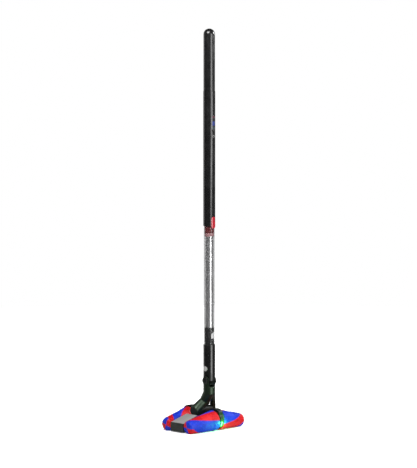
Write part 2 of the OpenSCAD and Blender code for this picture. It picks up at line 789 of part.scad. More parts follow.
module fan_unit() {
    z0 = bin_top + 72;
    color("silver") on_tube() {
        ring(tube_in - 0.6, fan_ring_in, z0, z0 + 14);
        translate([0, 0, z0 + 3]) cylinder(h = 50, r = fan_hub_r);
        for (i = [0:8]) rotate([0, 0, i * 40]) translate([fan_hub_r - 0.5, -0.5, z0 + 3])
            cube([fan_ring_in - fan_hub_r + 0.95, 1, 9]);
        translate([0, 0, z0 + 53]) cylinder(h = 5, r = tube_in - 0.6);
    }
}
module control_board() {
    color("darkgreen") on_tube() {
        box(-10, 10, -9, -7.4, contact_z - 20, display_z + display_h / 2);
        box(-5, 5, -7.4, -3, power_z - 30, power_z - 12);
    }
}
module battery_shell() {
    plug_r = tube_in - run_fit;
    wall = 1.6;
    color([0.1, 0.1, 0.1]) on_tube() difference() {
        union() {
            translate([0, 0, handle_top + 0.2]) cylinder(h = total_h - grip_r - handle_top - 0.2, r = grip_r);
            translate([0, 0, total_h - grip_r]) sphere(r = grip_r);
            translate([0, 0, handle_top - 44]) cylinder(h = 45, r = plug_r);
        }
        translate([0, 0, handle_top - 43]) cylinder(h = total_h - grip_r - handle_top + 40, r = plug_r - wall);
    }
}
module battery_cells() {
    z0 = handle_top - 41;
    color("steelblue") on_tube() for (i = [0, 1])
        translate([0, 0, z0 + i * (cell_len + 1)]) cylinder(h = cell_len, r = cell_r);
}

spine_shell();
sole_plate();
top_cover(-1);  // left_top_cover
top_cover(1);  // right_top_cover
end_cap(-1);  // left_end_cap
end_cap(1);  // right_end_cap
left_drive_case();
right_drive_case();
light_windows();
glide_pads();
pivot_bracket();
suction_elbow();
pivot_pin();
motor(-1);  // rear_motor
motor(1);  // front_motor
head_board();
head_screws();
pinion(-1);  // rear_pinion
pinion(1);  // front_pinion
idler(-1);  // rear_idler
idler(1);  // front_idler
axle(-1);  // rear_axle
axle(1);  // front_axle
core(-1, -1);  // rear_left_core
core(1, -1);  // rear_right_core
core(-1, 1);  // front_left_core
core(1, 1);  // front_right_core
sleeve(-1, -1);  // rear_left_sleeve
sleeve(1, -1);  // rear_right_sleeve
sleeve(-1, 1);  // front_left_sleeve
sleeve(1, 1);  // front_right_sleeve
bushes(-1, -1);  // rear_left_bushes
bushes(1, -1);  // rear_right_bushes
bushes(-1, 1);  // front_left_bushes
bushes(1, 1);  // front_right_bushes
yoke();
yoke_caps();
neck();
collar();
collar_duct();
release_button();
release_spring();
bin_tube();
inlet_chute();
inlet_flap();
wiper_ring();
wiper_lip();
shroud();
bin_catch();
handle_shell();
dust_filter();
fan_unit();
control_board();
display();
power_button();
charge_contacts();
battery_shell();
battery_cells();
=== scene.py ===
# %% [markdown]
# A slim stick vacuum cleaner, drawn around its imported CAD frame.
# The frame already holds every size, body and joint. This file only adds looks, so where a piece has to
# sit or fit is read from the frame, and only what the CAD leaves out has numbers of its own.

# %% Load the frame
import json
import math
import bmesh
import bpy
import numpy as np
from mathutils import Matrix, Vector, noise


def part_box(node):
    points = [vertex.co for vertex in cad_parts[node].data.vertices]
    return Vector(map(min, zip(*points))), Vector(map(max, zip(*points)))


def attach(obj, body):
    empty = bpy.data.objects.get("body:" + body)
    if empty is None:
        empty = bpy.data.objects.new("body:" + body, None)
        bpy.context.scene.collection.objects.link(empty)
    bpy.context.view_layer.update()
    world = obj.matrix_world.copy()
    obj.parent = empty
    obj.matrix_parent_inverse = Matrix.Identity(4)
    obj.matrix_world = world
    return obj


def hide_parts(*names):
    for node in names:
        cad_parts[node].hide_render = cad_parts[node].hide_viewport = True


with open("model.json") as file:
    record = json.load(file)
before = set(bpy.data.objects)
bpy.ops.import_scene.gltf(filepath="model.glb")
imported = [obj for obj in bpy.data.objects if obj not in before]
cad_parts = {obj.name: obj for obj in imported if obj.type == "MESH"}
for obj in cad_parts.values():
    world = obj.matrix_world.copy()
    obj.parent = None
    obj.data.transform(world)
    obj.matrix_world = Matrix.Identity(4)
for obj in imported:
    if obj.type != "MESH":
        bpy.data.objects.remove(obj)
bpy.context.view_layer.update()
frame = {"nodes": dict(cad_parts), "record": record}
MM = 0.001
joints = {j["name"]: j for j in frame["record"]["behaviour"]["joints"]}


def low(node):
    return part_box(node)[0]


def high(node):
    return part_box(node)[1]


def middle(node):
    return (Vector(low(node)) + Vector(high(node))) / 2


tube_axis = Vector((0, middle("collar").y, 0))
tube_r = (high("collar").x - low("collar").x) / 2

# %% [markdown]
# The camera comes first, because every later choice of detail depends on how large a piece looks.
# A wide lens would make the head swell and the handle shrink. A long lens from far away keeps the tube's
# sides parallel, which is how such a tall, thin product is usually shown.

# %% Camera
VIEW_TURN = math.radians(-44.8)
VIEW_RISE = math.radians(5.4)
VIEW_DISTANCE = 8.0
AIM = Vector((0.010, -0.012, 0.5675))
camera = bpy.data.objects.new("camera", bpy.data.cameras.new("camera"))
bpy.context.scene.collection.objects.link(camera)
bpy.context.scene.camera = camera
back = Vector((math.sin(VIEW_TURN) * math.cos(VIEW_RISE), -math.cos(VIEW_TURN) * math.cos(VIEW_RISE),
               math.sin(VIEW_RISE)))
camera.location = AIM + back * VIEW_DISTANCE
camera.rotation_euler = back.to_track_quat("Z", "Y").to_euler()
camera.data.lens = 213
camera.data.shift_x = -0.0003
camera.data.clip_start = 0.5
camera.data.clip_end = 40
print("camera at", [round(v, 2) for v in camera.location])

# %% [markdown]
# Two helpers make nearly every mesh here. A lathe spins an outline round an axis, and suits tubes and
# rollers. Its outline gets rounded corners before the spin, because a moulded edge is never sharp and it
# is the thin bright line along it that makes plastic look real. A moulded copy takes a CAD node whose
# shape is right, welds its loose triangles into clean flats, and rounds its edges.

# %% Mesh helpers
SHARP = math.radians(32)


def keep(bm, name, finish, body, *nodes, slot=None):
    """Turn a bmesh into a piece that rides on a body and stands for CAD nodes."""
    mesh = bpy.data.meshes.new(name)
    bm.to_mesh(mesh)
    bm.free()
    return keep_mesh(mesh, name, finish, body, *nodes, slot=slot)


def keep_mesh(mesh, name, finish, body, *nodes, slot=None):
    mesh.polygons.foreach_set("use_smooth", [True] * len(mesh.polygons))
    mesh.set_sharp_from_angle(angle=SHARP)
    piece = bpy.data.objects.new(name, mesh)
    bpy.context.scene.collection.objects.link(piece)
    piece.data.materials.append(finish)
    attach(piece, body)
    if nodes:
        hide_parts(*nodes)
    return piece


def rounded(corners, radius, steps=4):
    """An outline with each inner corner replaced by a short arc. The first and last points stay."""
    points = [Vector(c) for c in corners]
    out = [points[0]]
    for before, here, after in zip(points, points[1:], points[2:]):
        a, b = before - here, after - here
        back_off = min(radius, a.length * 0.45, b.length * 0.45)
        start, end = here + a.normalized() * back_off, here + b.normalized() * back_off
        for k in range(steps + 1):
            t = k / steps
            out.append(start * (1 - t) ** 2 + here * 2 * t * (1 - t) + end * t ** 2)
    return out + [points[-1]]


def spin(outline, steps=96, closed=False):
    """Spin an outline of (radius, height) in millimetres round the Z axis."""
    bm = bmesh.new()
    verts = [bm.verts.new((r * MM, 0, z * MM)) for r, z in outline]
    pairs = list(zip(verts, verts[1:])) + ([(verts[-1], verts[0])] if closed else [])
    edges = [bm.edges.new(pair) for pair in pairs]
    bmesh.ops.spin(bm, geom=verts + edges, cent=(0, 0, 0), axis=(0, 0, 1), angle=2 * math.pi,
                   steps=steps, use_merge=True)
    bmesh.ops.remove_doubles(bm, verts=bm.verts, dist=1e-7)
    bmesh.ops.recalc_face_normals(bm, faces=bm.faces)
    return bm


def sleeve_outline(r_out, r_in, z0, z1, edge):
    """The closed outline of a tube's wall, with rounded rims."""
    ring = rounded([(r_in, (z0 + z1) / 2), (r_in, z0), (r_out, z0), (r_out, z1), (r_in, z1),
                    (r_in, (z0 + z1) / 2)], edge)
    return ring[:-1]


def shifted(bm, place):
    bmesh.ops.transform(bm, matrix=place, verts=bm.verts)
    return bm


AT_TUBE = Matrix.Translation(tube_axis)


def tube(name, finish, body, *nodes, r_out, r_in, z0, z1, edge, slot=None):
    """A round-rimmed tube on the shaft's axis."""
    bm = spin(sleeve_outline(r_out, r_in, z0, z1, edge), closed=True)
    return keep(shifted(bm, AT_TUBE), name, finish, body, *nodes, slot=slot)


def joined(node):
    """A bmesh copy of a CAD node, with its triangles joined at their corners."""
    bm = bmesh.new()
    bm.from_mesh(frame["nodes"][node].data)
    bmesh.ops.remove_doubles(bm, verts=bm.verts, dist=2e-6)
    return bm


def welded(node):
    """A CAD node's triangles dissolved into clean flats."""
    bm = joined(node)
    bmesh.ops.dissolve_limit(bm, angle_limit=math.radians(0.6), verts=bm.verts, edges=bm.edges)
    return bm


def moulded(node, finish, body, edge=0.4, segments=2):
    """A CAD node's shape with softened edges."""
    piece = keep(welded(node), node + "_moulded", finish, body, node)
    soft = piece.modifiers.new("soft_edges", "BEVEL")
    soft.width = edge * MM
    soft.segments = segments
    soft.limit_method = "ANGLE"
    soft.angle_limit = SHARP
    soft.harden_normals = True
    return piece


def applied(piece):
    """Bake a piece's modifiers into its mesh."""
    graph = bpy.context.evaluated_depsgraph_get()
    mesh = bpy.data.meshes.new_from_object(piece.evaluated_get(graph))
    piece.modifiers.clear()
    piece.data = mesh


print("helpers ready")

# %% [markdown]
# Materials are written as sums. A Wire wraps a socket, and adding or multiplying wires adds Math nodes,
# so a pattern reads like a formula. A Finish owns one material: its constants sit on the shader's own
# sockets, and only what varies over the surface is fed in by a link.

# %% Wires and finishes


class Wire:
    def __init__(self, socket):
        self.socket = socket

    def maths(self, operation, other=None, swap=False):
        node = self.socket.node.id_data.nodes.new("ShaderNodeMath")
        node.operation = operation
        values = [self] if other is None else ([other, self] if swap else [self, other])
        for place, value in zip(node.inputs, values):
            plug(place, value)
        return Wire(node.outputs[0])

    def __add__(self, other):
        return self.maths("ADD", other)

    def __sub__(self, other):
        return self.maths("SUBTRACT", other)

    def __rsub__(self, other):
        return self.maths("SUBTRACT", other, swap=True)

    def __mul__(self, other):
        return self.maths("MULTIPLY", other)

    def __truediv__(self, other):
        return self.maths("DIVIDE", other)

    def __lt__(self, other):
        return self.maths("LESS_THAN", other)


def plug(place, value):
    if isinstance(value, Wire):
        place.node.id_data.links.new(value.socket, place)
    else:
        place.default_value = value


class Finish:
    def __init__(self, name, colour, roughness, **constants):
        self.material = bpy.data.materials.new(name)
        self.material.use_nodes = True
        self.tree = self.material.node_tree
        self.shader = self.tree.nodes["Principled BSDF"]
        self.shader.inputs["Base Color"].default_value = (*colour, 1)
        self.shader.inputs["Roughness"].default_value = roughness
        for socket, value in constants.items():
            self.shader.inputs[socket.replace("_", " ")].default_value = value

    def make(self, kind, output=0, **sockets):
        """Any other node, with the values or links of its sockets."""
        node = self.tree.nodes.new("ShaderNode" + kind)
        for socket, value in sockets.items():
            plug(node.inputs[socket.replace("_", " ")], value)
        return Wire(node.outputs[output])

    def ramp(self, factor, *stops):
        node = self.tree.nodes.new("ShaderNodeValToRGB")
        while len(node.color_ramp.elements) < len(stops):
            node.color_ramp.elements.new(0.5)
        for element, (position, colour) in zip(node.color_ramp.elements, stops):
            element.position = position
            element.color = (*colour, 1)
        plug(node.inputs[0], factor)
        return Wire(node.outputs[0])

    def place(self):
        return self.make("TexCoord", output=3)

    def axes(self, vector):
        node = self.tree.nodes.new("ShaderNodeSeparateXYZ")
        plug(node.inputs[0], vector)
        return [Wire(socket) for socket in node.outputs]

    def speckle(self, scale, detail=2.0, vector=None, rough=0.5):
        """Smooth noise from 0 to 1, on the piece's own coordinates in metres."""
        return self.make("TexNoise", Vector=vector or self.place(), Scale=scale, Detail=detail,
                         Roughness=rough)

    def blend(self, factor, a, b, how="MIX"):
        """Mix two colours, or multiply them."""
        node = self.tree.nodes.new("ShaderNodeMix")
        node.data_type = "RGBA"
        node.blend_type = how
        for place, value in ((node.inputs[0], factor), (node.inputs[6], a), (node.inputs[7], b)):
            plug(place, value if isinstance(value, (Wire, float)) else (*value, 1))
        return Wire(node.outputs[2])

    def span(self, value, low_in, high_in, low_out, high_out):
        return self.make("MapRange", Value=value, From_Min=low_in, From_Max=high_in, To_Min=low_out,
                         To_Max=high_out)

    def feed(self, socket, wire):
        plug(self.shader.inputs[socket], wire)

    def bump(self, height, depth_mm, strength=1.0):
        node = self.tree.nodes.new("ShaderNodeBump")
        node.inputs["Strength"].default_value = strength
        node.inputs["Distance"].default_value = depth_mm * MM
        plug(node.inputs["Height"], height)
        self.feed("Normal", Wire(node.outputs[0]))


print("wires ready")

# %% [markdown]
# Moulded plastic is never one flat colour. The mould leaves a fine grain, hands polish it in soft
# patches, and the colour drifts a little. One function makes all the plain plastics, and only its numbers
# differ, so the black tube, the greener yoke and the grey covers belong to one family.

# %% Moulded plastics


def plastic(name, colour, roughness, grain_mm=0.03, grain_scale=1400, drift=0.25, coat=0.0, **constants):
    f = Finish(name, colour, roughness, Coat_Weight=coat, **constants)
    patches = f.speckle(38, detail=3)
    grain = f.speckle(grain_scale, detail=1)
    darker = tuple(c * (1 - drift) for c in colour)
    lighter = tuple(min(1, c * (1 + drift)) for c in colour)
    f.feed("Base Color", f.ramp(patches, (0.3, darker), (0.7, lighter)))
    f.feed("Roughness", f.span(patches, 0.3, 0.7, roughness - 0.05, roughness + 0.07))
    f.bump(grain, grain_mm)
    return f.material


shell_black = plastic("shell_black", (0.0035, 0.0035, 0.0037), 0.27, grain_mm=0.0008, Specular_IOR_Level=0.5)
neck_black = plastic("neck_black", (0.003, 0.003, 0.0032), 0.34, grain_mm=0.002, Specular_IOR_Level=0.45)
yoke_black = plastic("yoke_black", (0.0045, 0.0080, 0.0045), 0.40, grain_mm=0.004, Specular_IOR_Level=0.5,
                     Specular_Tint=(0.75, 1.0, 0.75, 1.0))
case_black = plastic("case_black", (0.006, 0.007, 0.006), 0.5, grain_mm=0.02, Specular_IOR_Level=0.35)
spine_grey = plastic("spine_grey", (0.020, 0.023, 0.020), 0.5, grain_mm=0.03)
cover_grey = plastic("cover_grey", (0.25, 0.247, 0.244), 0.42, grain_mm=0.03, drift=0.06)
button_grey = plastic("button_grey", (0.24, 0.24, 0.235), 0.36, grain_mm=0.01, drift=0.05)
catch_red = plastic("catch_red", (0.24, 0.002, 0.010), 0.28, grain_mm=0.004, drift=0.1, coat=0.4)
chute_black = plastic("chute_black", (0.010, 0.010, 0.010), 0.45, grain_mm=0.01)
gear_ivory = plastic("gear_ivory", (0.72, 0.68, 0.56), 0.35, grain_mm=0.01, drift=0.06)
cell_blue = plastic("cell_blue", (0.03, 0.12, 0.42), 0.3, grain_mm=0.01, drift=0.1)
core_grey = plastic("core_grey", (0.07, 0.07, 0.072), 0.5)
print("plastics ready")

# %% [markdown]
# Metal gets its look from long, fine scratches rather than from grain. The noise is stretched along the
# piece by scaling its coordinates, so the highlights break into streaks. Rubber and felt are the other
# way round: soft, rough and almost without highlights.

# %% Metals, rubber, felt and paper


def metal(name, colour, roughness, streak=(900, 900, 40)):
    f = Finish(name, colour, roughness, Metallic=1.0)
    stretched = f.make("Mapping", Vector=f.place(), Scale=streak)
    lines = f.speckle(1.0, detail=3, vector=stretched)
    f.feed("Roughness", f.span(lines, 0.3, 0.7, roughness - 0.08, roughness + 0.12))
    f.feed("Base Color", f.ramp(lines, (0.2, tuple(c * 0.8 for c in colour)), (0.8, colour)))
    f.bump(lines, 0.01)
    return f.material


steel = metal("steel", (0.56, 0.56, 0.57), 0.3)
bronze = metal("bronze", (0.52, 0.34, 0.14), 0.4, streak=(500, 500, 500))
contact_metal = metal("contact_metal", (0.05, 0.045, 0.035), 0.4)
wiper_red = plastic("wiper_red", (0.09, 0.002, 0.004), 0.5, grain_mm=0.02, drift=0.2)
lip_pink = plastic("lip_pink", (0.30, 0.15, 0.16), 0.5, grain_mm=0.01, drift=0.1)
felt_white = plastic("felt_white", (0.62, 0.62, 0.60), 0.95, grain_mm=0.15, grain_scale=2600, drift=0.1)
filter_paper = plastic("filter_paper", (0.68, 0.64, 0.74), 0.9, grain_mm=0.05, drift=0.08)
board_green = plastic("board_green", (0.008, 0.11, 0.04), 0.4, grain_mm=0.02, drift=0.3)
print("metals and soft finishes ready")

# %% [markdown]
# The roller pile is red and blue, wound in a spiral. The stripes must follow the cone as it turns, so they
# are drawn on the sleeve's own UV map: U runs round the roller and V along it. The winding is tighter
# towards the narrow end, which the fourth power in the formula gives. The far row is wound the other way,
# because the two rows turn against each other and both sweep dirt inwards.

# %% Striped pile
PILE_RED = (0.56, 0.003, 0.008)
PILE_BLUE = (0.003, 0.030, 0.50)


def striped_pile(name, start_deg, twist, first, second, share=0.0):
    f = Finish(name, first, 0.6, Sheen_Weight=0.03, Sheen_Roughness=0.3, Specular_IOR_Level=0.2,
               Coat_Weight=0.14, Coat_Roughness=0.22)
    round_u, along_v, _ = f.axes(f.make("UVMap"))
    fourth = along_v * along_v * along_v * along_v
    wound = round_u * 2 - start_deg / 180 + (along_v * 40 + fourth * 60) * (twist / 180)
    ragged = wound + (f.speckle(700, detail=2) - 0.5) * 0.035
    wave = (ragged * (2 * math.pi)).maths("SINE")
    stripe = f.span(wave, share - 0.09, share + 0.09, 0.0, 1.0)
    nap = f.speckle(240, detail=4, rough=0.7)
    red_blue = f.blend(stripe, first, second)
    shade = f.blend(f.span(nap, 0.3, 0.7, 0.0, 1.0), (0.55, 0.55, 0.58), (1.0, 1.0, 1.0))
    f.feed("Base Color", f.blend(1.0, red_blue, shade, how="MULTIPLY"))
    f.feed("Roughness", f.span(nap, 0.2, 0.8, 0.42, 0.62))
    f.bump(f.speckle(1500, detail=3), 0.35, 0.6)
    return f.material


print("pile ready")

# %% [markdown]
# Pile could be hair particles, but the export keeps only meshes, so the fibres are real geometry. One
# tapered fibre is made with create_cone and copied a few thousand times over the cone at random. Each copy
# leans a little round the roller, the way pile lies after it has been spun. The draws are seeded, but a
# spun mesh has its faces in no fixed order, so single fibres still differ from run to run. Sizes here are
# in millimetres.

# %% Plush sleeves
FIBRES = 7000
FIBRE_LENGTH = 1.5
FIBRE_WIDTH = 0.34
FIBRE_LEAN = 0.45
FIBRE_MESS = 0.9
FIBRE_SUNK = 0.38
NAP = FIBRE_LENGTH * 0.45
ROLLER_STEPS = 128
BACKING_THICK = 4.4
RIM_DEPTH = 7
CASE_GAP = 0.9
NOSE_ROUND = 9
RING_PITCH = 3


def roller_frame(joint):
    """Matrix that puts a vertical outline on the roller's sloping axis, wide end at the origin."""
    start = Vector(joint["pos_m"])
    side = 1 if start.x > 0 else -1
    along = Vector(joint["axis"]).normalized() * side
    across = along.cross(Vector((0, 0, 1))).normalized()
    top = across.cross(along).normalized()
    return Matrix.Translation(start) @ Matrix((top, across, along)).transposed().to_4x4()


def in_row(points, place):
    """Points in the roller's own frame, as rows."""
    return (np.array(points) - np.array(place.translation)) @ np.array(place.to_3x3())


def measure(points, place):
    """Angle from the top towards the user, and distance along the axis, of points in the row frame."""
    local = in_row(points, place)
    world_y = np.array(place.to_3x3())[1]
    toward_user = -(local @ np.diag([1, 1, 0]) @ world_y)
    return np.arctan2(toward_user, local[:, 0]), local[:, 2]


def sleeve_size(name, place):
    """Length, wide radius and narrow radius of the CAD sleeve, in millimetres."""
    local = in_row([v.co for v in frame["nodes"][name + "_sleeve"].data.vertices], place) / MM
    radius, along = np.hypot(local[:, 0], local[:, 1]), local[:, 2]
    length = along.max()
    return length, radius[along < 4].max(), radius[along > length - 12].max()


def backing(name, place, length, near_big, near_tip):
    """The fabric cone that the fibres grow from, a little uneven."""
    big, tip, inner = near_big - NAP, near_tip - NAP, near_big - BACKING_THICK
    outline = rounded([(inner, RIM_DEPTH), (inner, CASE_GAP), (big, CASE_GAP),
                       (tip + 0.9, length - NAP - 0.2), (0, length - NAP)], NOSE_ROUND, steps=7)
    fine = [outline[0]]
    for a, b in zip(outline, outline[1:]):
        parts = max(1, int((b - a).length / RING_PITCH))
        fine += [a.lerp(b, (k + 1) / parts) for k in range(parts)]
    bm = spin([tuple(p) for p in fine], ROLLER_STEPS)
    for v in bm.verts:
        ripple = noise.noise(v.co * 260) * 0.28 + noise.noise(v.co * 90) * 0.25
        v.co += Vector((v.co.x, v.co.y, 0)).normalized() * ripple * MM
    mesh = bpy.data.meshes.new(name)
    shifted(bm, place).to_mesh(mesh)
    bm.free()
    return mesh


def per_face(mesh, attribute, width, kind=float):
    values = np.zeros(len(mesh.polygons) * width, dtype=kind)
    mesh.polygons.foreach_get(attribute, values)
    return values.reshape(-1, width) if width > 1 else values


def one_fibre():
    """Corner places and faces of a single tapered fibre, standing on Z."""
    bm = bmesh.new()
    bmesh.ops.create_cone(bm, cap_ends=False, segments=3, radius1=FIBRE_WIDTH / 2 * MM,
                          radius2=FIBRE_WIDTH / 8 * MM, depth=FIBRE_LENGTH * MM)
    bm.verts.ensure_lookup_table()
    corners = np.array([v.co for v in bm.verts]) + [0, 0, FIBRE_LENGTH * FIBRE_SUNK * MM]
    faces = [[v.index for v in face.verts] for face in bm.faces]
    bm.free()
    return corners, faces


def unit(rows):
    return rows / np.linalg.norm(rows, axis=1)[:, None]


def grown(mesh, place, length, near_big, blade, seed):
    """Roots and corners of all the fibres. The wall inside the rim has none."""
    rng = np.random.default_rng(seed)
    area, centres, normals = (per_face(mesh, *what) for what in (("area", 1), ("center", 3), ("normal", 3)))
    outward = in_row(centres, place)
    bare_r = near_big - BACKING_THICK + 1.0
    outside = (np.hypot(outward[:, 0], outward[:, 1]) > bare_r * MM) | (outward[:, 2] > 0.5 * length * MM)
    weight = area * outside
    pick = rng.choice(len(area), FIBRES, p=weight / weight.sum())
    face_normal = normals[pick]
    spread = np.sqrt(area[pick])[:, None] * (rng.random((FIBRES, 3)) - 0.5)
    root = centres[pick] + spread - face_normal * (spread * face_normal).sum(1)[:, None]
    axis = np.array(place.to_3x3())[:, 2]
    lean = np.cross(axis, face_normal) * FIBRE_LEAN + (rng.random((FIBRES, 3)) - 0.5) * FIBRE_MESS
    direction = unit(face_normal + lean)
    aside = unit(np.cross(direction, axis + 0.01))
    third = np.cross(direction, aside)
    tall = 0.75 + 0.5 * rng.random((FIBRES, 1, 1))
    strands = (root[:, None] + blade[None, :, 0:1] * aside[:, None] + blade[None, :, 1:2] * third[:, None]
               + blade[None, :, 2:3] * direction[:, None] * tall)
    return root, strands.reshape(-1, 3)


def wrapped(mesh, points, place, length):
    """A UV map with U round the roller and V along it. A face over the seam keeps to one side of it."""
    turned, along = measure(points, place)
    u, v = turned / (2 * math.pi), np.clip(along / ((length - 8) * MM), 0, 1)
    loops = np.zeros(len(mesh.loops), dtype=np.int64)
    mesh.loops.foreach_get("vertex_index", loops)
    start, total = per_face(mesh, "loop_start", 1, np.int64), per_face(mesh, "loop_total", 1, np.int64)
    first = np.repeat(u[loops[start]], total)
    loop_u = u[loops] - np.round(u[loops] - first)
    layer = mesh.uv_layers.new(name="UVMap")
    layer.data.foreach_set("uv", np.stack([loop_u, v[loops]], axis=1).astype(np.float32).ravel())


def plush_sleeve(row, side, finish, seed):
    name = row + "_" + side
    place = roller_frame(joints[name + "_spin"])
    length, near_big, near_tip = sleeve_size(name, place)
    cone = backing(name, place, length, near_big, near_tip)
    blade, blade_faces = one_fibre()
    root, strands = grown(cone, place, length, near_big, blade, seed)
    cone_points = np.array([v.co for v in cone.vertices])
    cone_faces = [list(p.vertices) for p in cone.polygons]
    first_corners = len(cone_points) + len(blade) * np.arange(FIBRES)
    fibre_faces = [[int(b) + i for i in face] for b in first_corners for face in blade_faces]
    bpy.data.meshes.remove(cone)
    full = bpy.data.meshes.new(name + "_pile")
    full.from_pydata(np.concatenate([cone_points, strands]), [], cone_faces + fibre_faces)
    wrapped(full, np.concatenate([cone_points, np.repeat(root, len(blade), axis=0)]), place, length)
    keep_mesh(full, name + "_plush", finish, name + "_roller", name + "_sleeve", slot="red_blue_pile")
    print(name, "plush sleeve:", len(full.polygons), "faces, wide end radius", round(near_big, 1), "mm")


near_left_pile = striped_pile("near_left_pile", 95, 1.0, PILE_RED, PILE_BLUE, share=-0.38)
near_right_pile = striped_pile("near_right_pile", 110, 1.0, PILE_BLUE, PILE_RED)
far_left_pile = striped_pile("far_left_pile", -17, -2.2, PILE_BLUE, PILE_RED)
far_right_pile = striped_pile("far_right_pile", -17, -2.2, PILE_RED, PILE_BLUE)
plush_sleeve("rear", "left", near_left_pile, 11)
plush_sleeve("rear", "right", near_right_pile, 12)
plush_sleeve("front", "left", far_left_pile, 13)
plush_sleeve("front", "right", far_right_pile, 14)

# %% [markdown]
# The bin is clear plastic, and the dust shroud inside it is a tube of finely perforated metal. Clear
# plastic shows mostly at its edges, where the wall is seen end on, so its alpha follows Layer Weight. The
# holes of the shroud are too many to cut, so they are drawn as a grid of dark dots round the axis.

# %% Clear plastic and perforated metal


def clear_plastic(name, colour, thin, thick):
    f = Finish(name, colour, 0.08, Coat_Weight=0.5, Coat_Roughness=0.04)
    edge_on = f.make("LayerWeight", output=1, Blend=0.4)
    haze = f.speckle(60, detail=3)
    f.feed("Alpha", f.span(edge_on, 0.0, 1.0, thin, thick) + haze * 0.04)
    f.feed("Roughness", f.span(haze, 0.3, 0.7, 0.05, 0.14))
    return f.material


def perforated(name, colour, round_holes, pitch_mm):
    f = Finish(name, colour, 0.34, Metallic=0.9)
    x, y, z = f.axes(f.place())
    turn = (y - tube_axis.y).maths("ARCTAN2", x)
    grid = (turn * round_holes).maths("SINE") * (z * (math.pi / (pitch_mm * MM))).maths("SINE")
    hole = f.span(grid.maths("ABSOLUTE"), 0.45, 0.65, 0.0, 1.0)
    f.feed("Base Color", f.blend(hole, colour, tuple(c * 0.12 for c in colour)))
    f.feed("Metallic", f.span(hole, 0.0, 1.0, 0.9, 0.0))
    f.bump(1 - hole, 0.03, 0.5)
    return f.material


clear = clear_plastic("clear", (0.04, 0.041, 0.042), 0.05, 0.45)
shroud_metal = perforated("shroud_metal", (0.74, 0.74, 0.75), 36, 0.95)
print("bin finishes ready")

# %% [markdown]
# Small lights sit low between the wide ends of the rollers and glow green, and the handle has a little
# display. Both emit light. The display is dark glass with three plain lit bars, in red, blue and a pale
# grey-green. Each is drawn by its distance from a point in object coordinates.

# %% Glowing finishes
GREEN = (0.10, 1.0, 0.16)
display_middle = middle("display")


def glowing(name, colour, strength):
    f = Finish(name, tuple(c * 0.5 for c in colour), 0.3, Emission_Strength=strength)
    cloud = f.speckle(300, detail=2)
    f.feed("Emission Color", f.ramp(cloud, (0.3, tuple(c * 0.7 for c in colour)), (0.7, colour)))
    return f.material


def lit_display(name):
    f = Finish(name, (0.006, 0.006, 0.008), 0.3, Coat_Weight=0.15, Coat_Roughness=0.2, Emission_Strength=1.4)
    x, _, z = f.axes(f.place())
    across, up = x.maths("ABSOLUTE"), z - display_middle.z

    def bar(centre, half_high, half_wide):
        inside = (up - centre * MM).maths("ABSOLUTE") < half_high * MM
        return inside * (across < half_wide * MM)

    red, blue, pale = bar(16.0, 3.0, 6.0), bar(-2.5, 6.0, 5.0), bar(-15.5, 3.4, 6.0)
    glow = f.blend(red, (0.0, 0.0, 0.0), (0.05, 0.0015, 0.008))
    glow = f.blend(blue, glow, (0.010, 0.026, 0.17))
    f.feed("Emission Color", f.blend(pale, glow, (0.014, 0.030, 0.033)))
    f.feed("Roughness", f.span(f.speckle(50, detail=2), 0.3, 0.7, 0.26, 0.36))
    return f.material


green_light = glowing("green_light", GREEN, 6.0)
display_glass = lit_display("display_glass")
print("lights and display ready")

# %% [markdown]
# The yoke is one soft, swollen casting that joins the head to the tube: a fat leg with an air duct inside
# it, and a thin arm. The CAD shape is built from simple solids that meet in creases. A voxel remesh turns
# the copy into one even skin, and a few rounds of smoothing melt the creases as a mould maker would. The
# bores stay open, because the voxels are finer than any of their walls.

# %% Yoke
def melted(node, finish, body, voxel_mm, rounds):
    piece = keep(joined(node), node + "_cast", finish, body, node)
    skin = piece.modifiers.new("even_skin", "REMESH")
    skin.mode = "VOXEL"
    skin.voxel_size = voxel_mm * MM
    skin.use_smooth_shade = True
    melt = piece.modifiers.new("melt", "SMOOTH")
    melt.factor = 0.5
    melt.iterations = rounds
    applied(piece)
    piece.data.polygons.foreach_set("use_smooth", [True] * len(piece.data.polygons))
    if not piece.data.materials:
        piece.data.materials.append(finish)
    print(node, "cast:", len(piece.data.polygons), "faces")


melted("yoke", yoke_black, "yoke", 0.75, 3)

# %% [markdown]
# The neck turns in the yoke's ears. Each ear ends in a round cap with a raised rim, and a paler disc sits
# inside the rim. The rim is part of the CAD cap, and the disc is new: a shallow dish made with a lathe and
# then laid on its side.

# %% Neck, caps and their discs


def lying(bm, x, y, z, side):
    """Lay a lathed piece on its side, facing away from the tube along X."""
    turn = Matrix.Translation((x, y, z)) @ Matrix.Rotation(side * math.pi / 2, 4, "Y")
    return shifted(bm, turn)


moulded("neck", neck_black, "neck", edge=0.5, segments=3)
moulded("yoke_caps", shell_black, "yoke", edge=0.3, segments=3)
cap_middle, cap_size = middle("yoke_caps"), Vector(high("yoke_caps")) - Vector(low("yoke_caps"))
cap_r = cap_size.z / 2 / MM
for side, label in ((-1, "left"), (1, "right")):
    dish = spin(rounded([(0, -0.15), (cap_r - 4.6, -0.15), (cap_r - 3.4, 0.35), (cap_r - 2.6, 0.35),
                         (cap_r - 2.6, -0.3)], 0.5), 64)
    lying(dish, side * (tube_r - 0.0004), cap_middle.y, cap_middle.z, side)
    keep(dish, label + "_cap_disc", spine_grey, "yoke", slot="dark_grey")
print("cap radius in mm:", round(cap_r, 2))

# %% [markdown]
# The collar carries the swivel and the round release button. Where a CAD piece already has the right holes
# and steps, a copy with softened edges is enough, and a thin raised bead marks each parting line.

# %% Collar and release button
moulded("collar", shell_black, "wand", edge=0.35, segments=3)
moulded("release_button", button_grey, "release_button", edge=0.7, segments=4)
tube_mm = tube_r / MM


